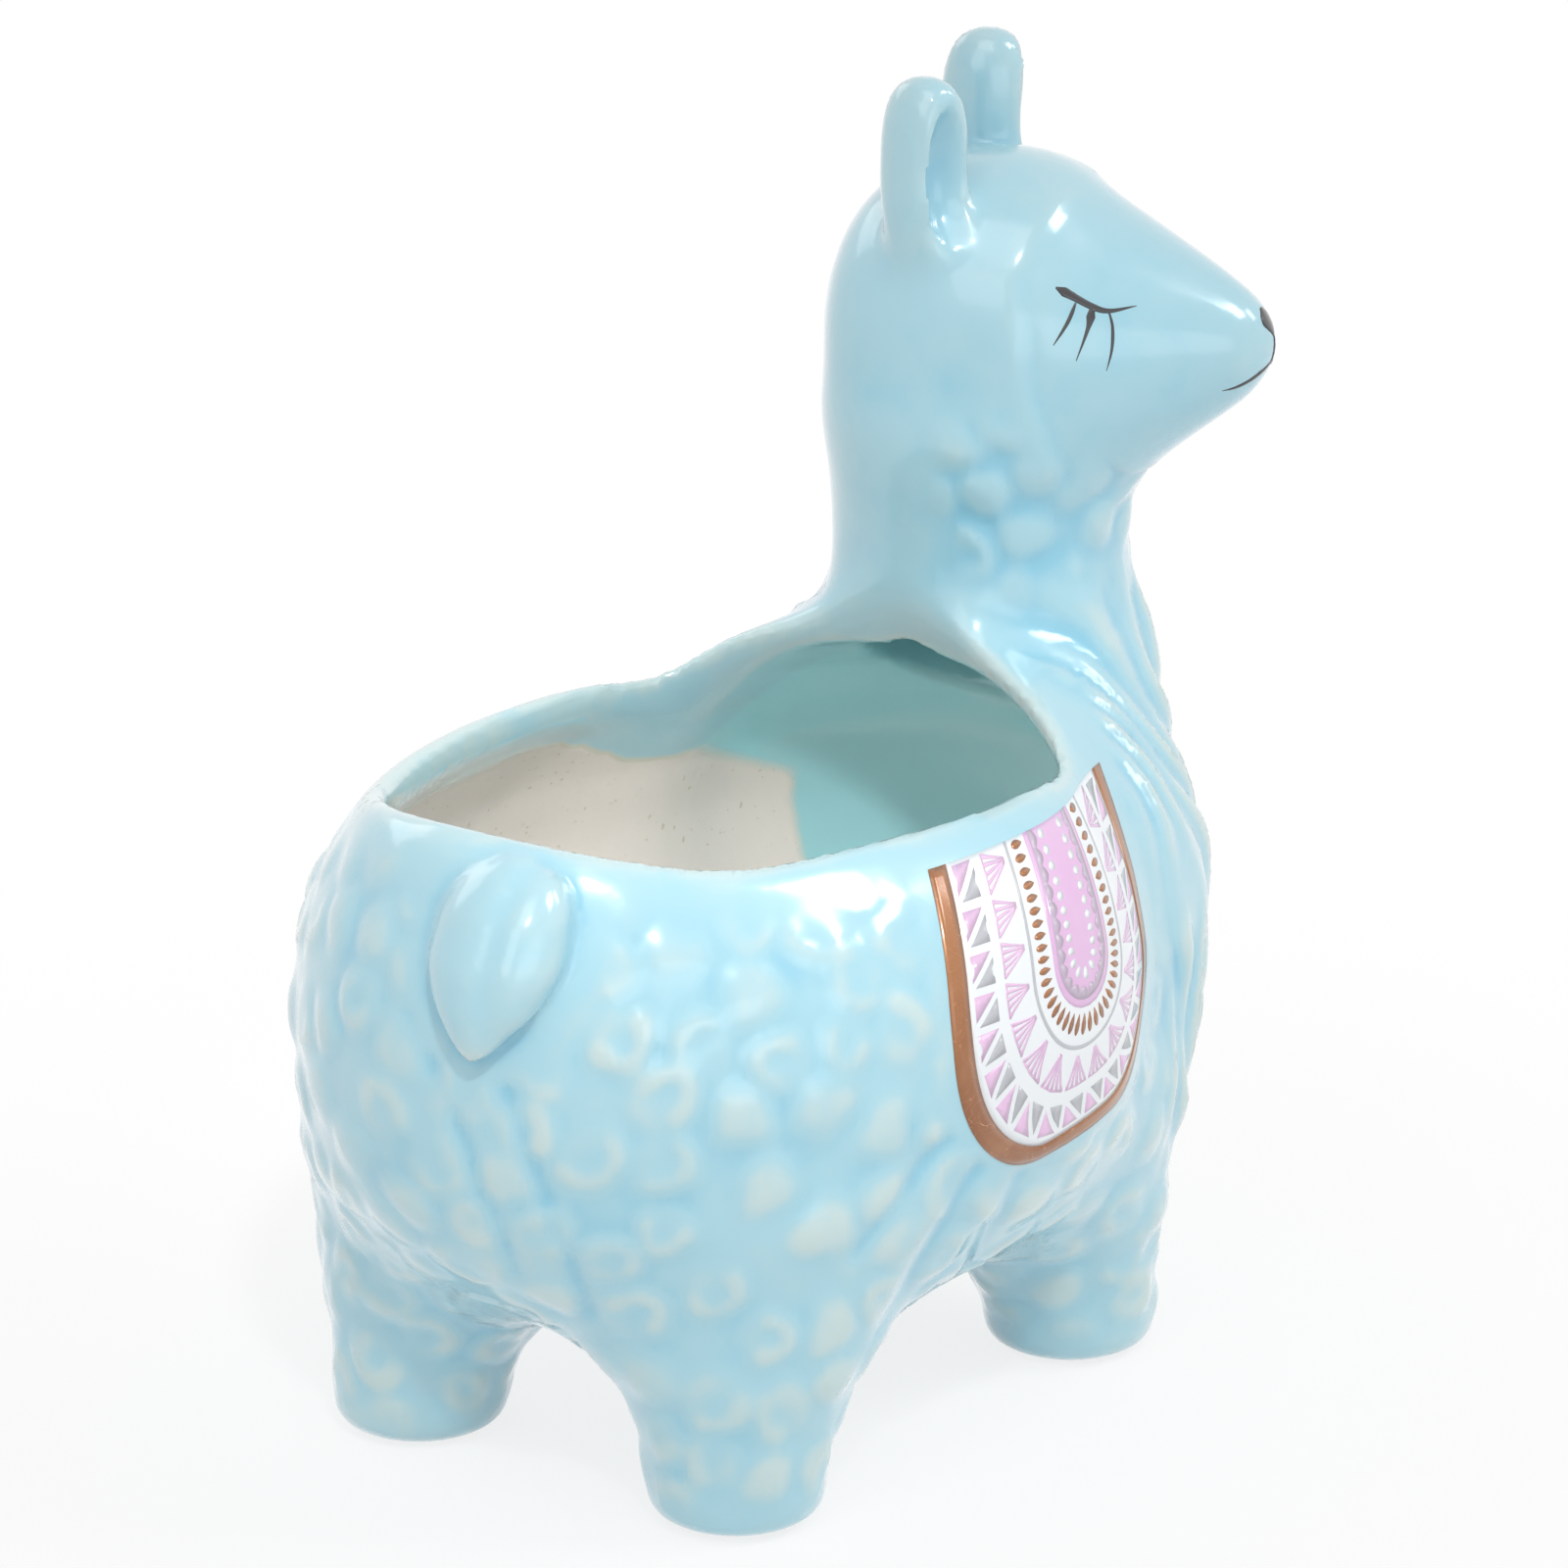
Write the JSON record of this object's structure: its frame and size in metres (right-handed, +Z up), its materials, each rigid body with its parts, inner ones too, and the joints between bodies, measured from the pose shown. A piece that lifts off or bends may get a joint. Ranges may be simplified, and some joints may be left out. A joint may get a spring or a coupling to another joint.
{
  "type": "animal shaped planter",
  "caption": "Glazed ceramic planter in the form of a standing alpaca with a turned head, saddle blanket, stub legs and a wide planting hole in its back.",
  "frame": {"origin": "on the ground, under the middle of the whole piece", "axes": "+Z up; +X the way the body faces, from tail to chest; +Y the animal's left side. The head is turned 70 degrees to the animal's right."},
  "size_m": [0.1382, 0.0994, 0.16],
  "materials": {
    "glazed_body": "gloss",
    "lustre_border": "gloss",
    "pink_ground": "gloss",
    "grey_line": "gloss",
    "orchid_field": "gloss",
    "black_enamel": "gloss"
  },
  "bodies": {
    "root": {"pot_body": "glazed_body", "neck": "glazed_body", "head": "glazed_body", "ear_left": "glazed_body", "ear_right": "glazed_body", "tail": "glazed_body", "front_left_leg": "glazed_body", "front_right_leg": "glazed_body", "rear_left_leg": "glazed_body", "rear_right_leg": "glazed_body", "blanket_left_border": "lustre_border", "blanket_right_border": "lustre_border", "blanket_left_ground": "pink_ground", "blanket_right_ground": "pink_ground", "blanket_left_line": "grey_line", "blanket_right_line": "grey_line", "blanket_left_field": "orchid_field", "blanket_right_field": "orchid_field", "eye_left": "black_enamel", "eye_right": "black_enamel", "mouth_line": "black_enamel", "nose_patch": "black_enamel"}
  },
  "joints": []
}
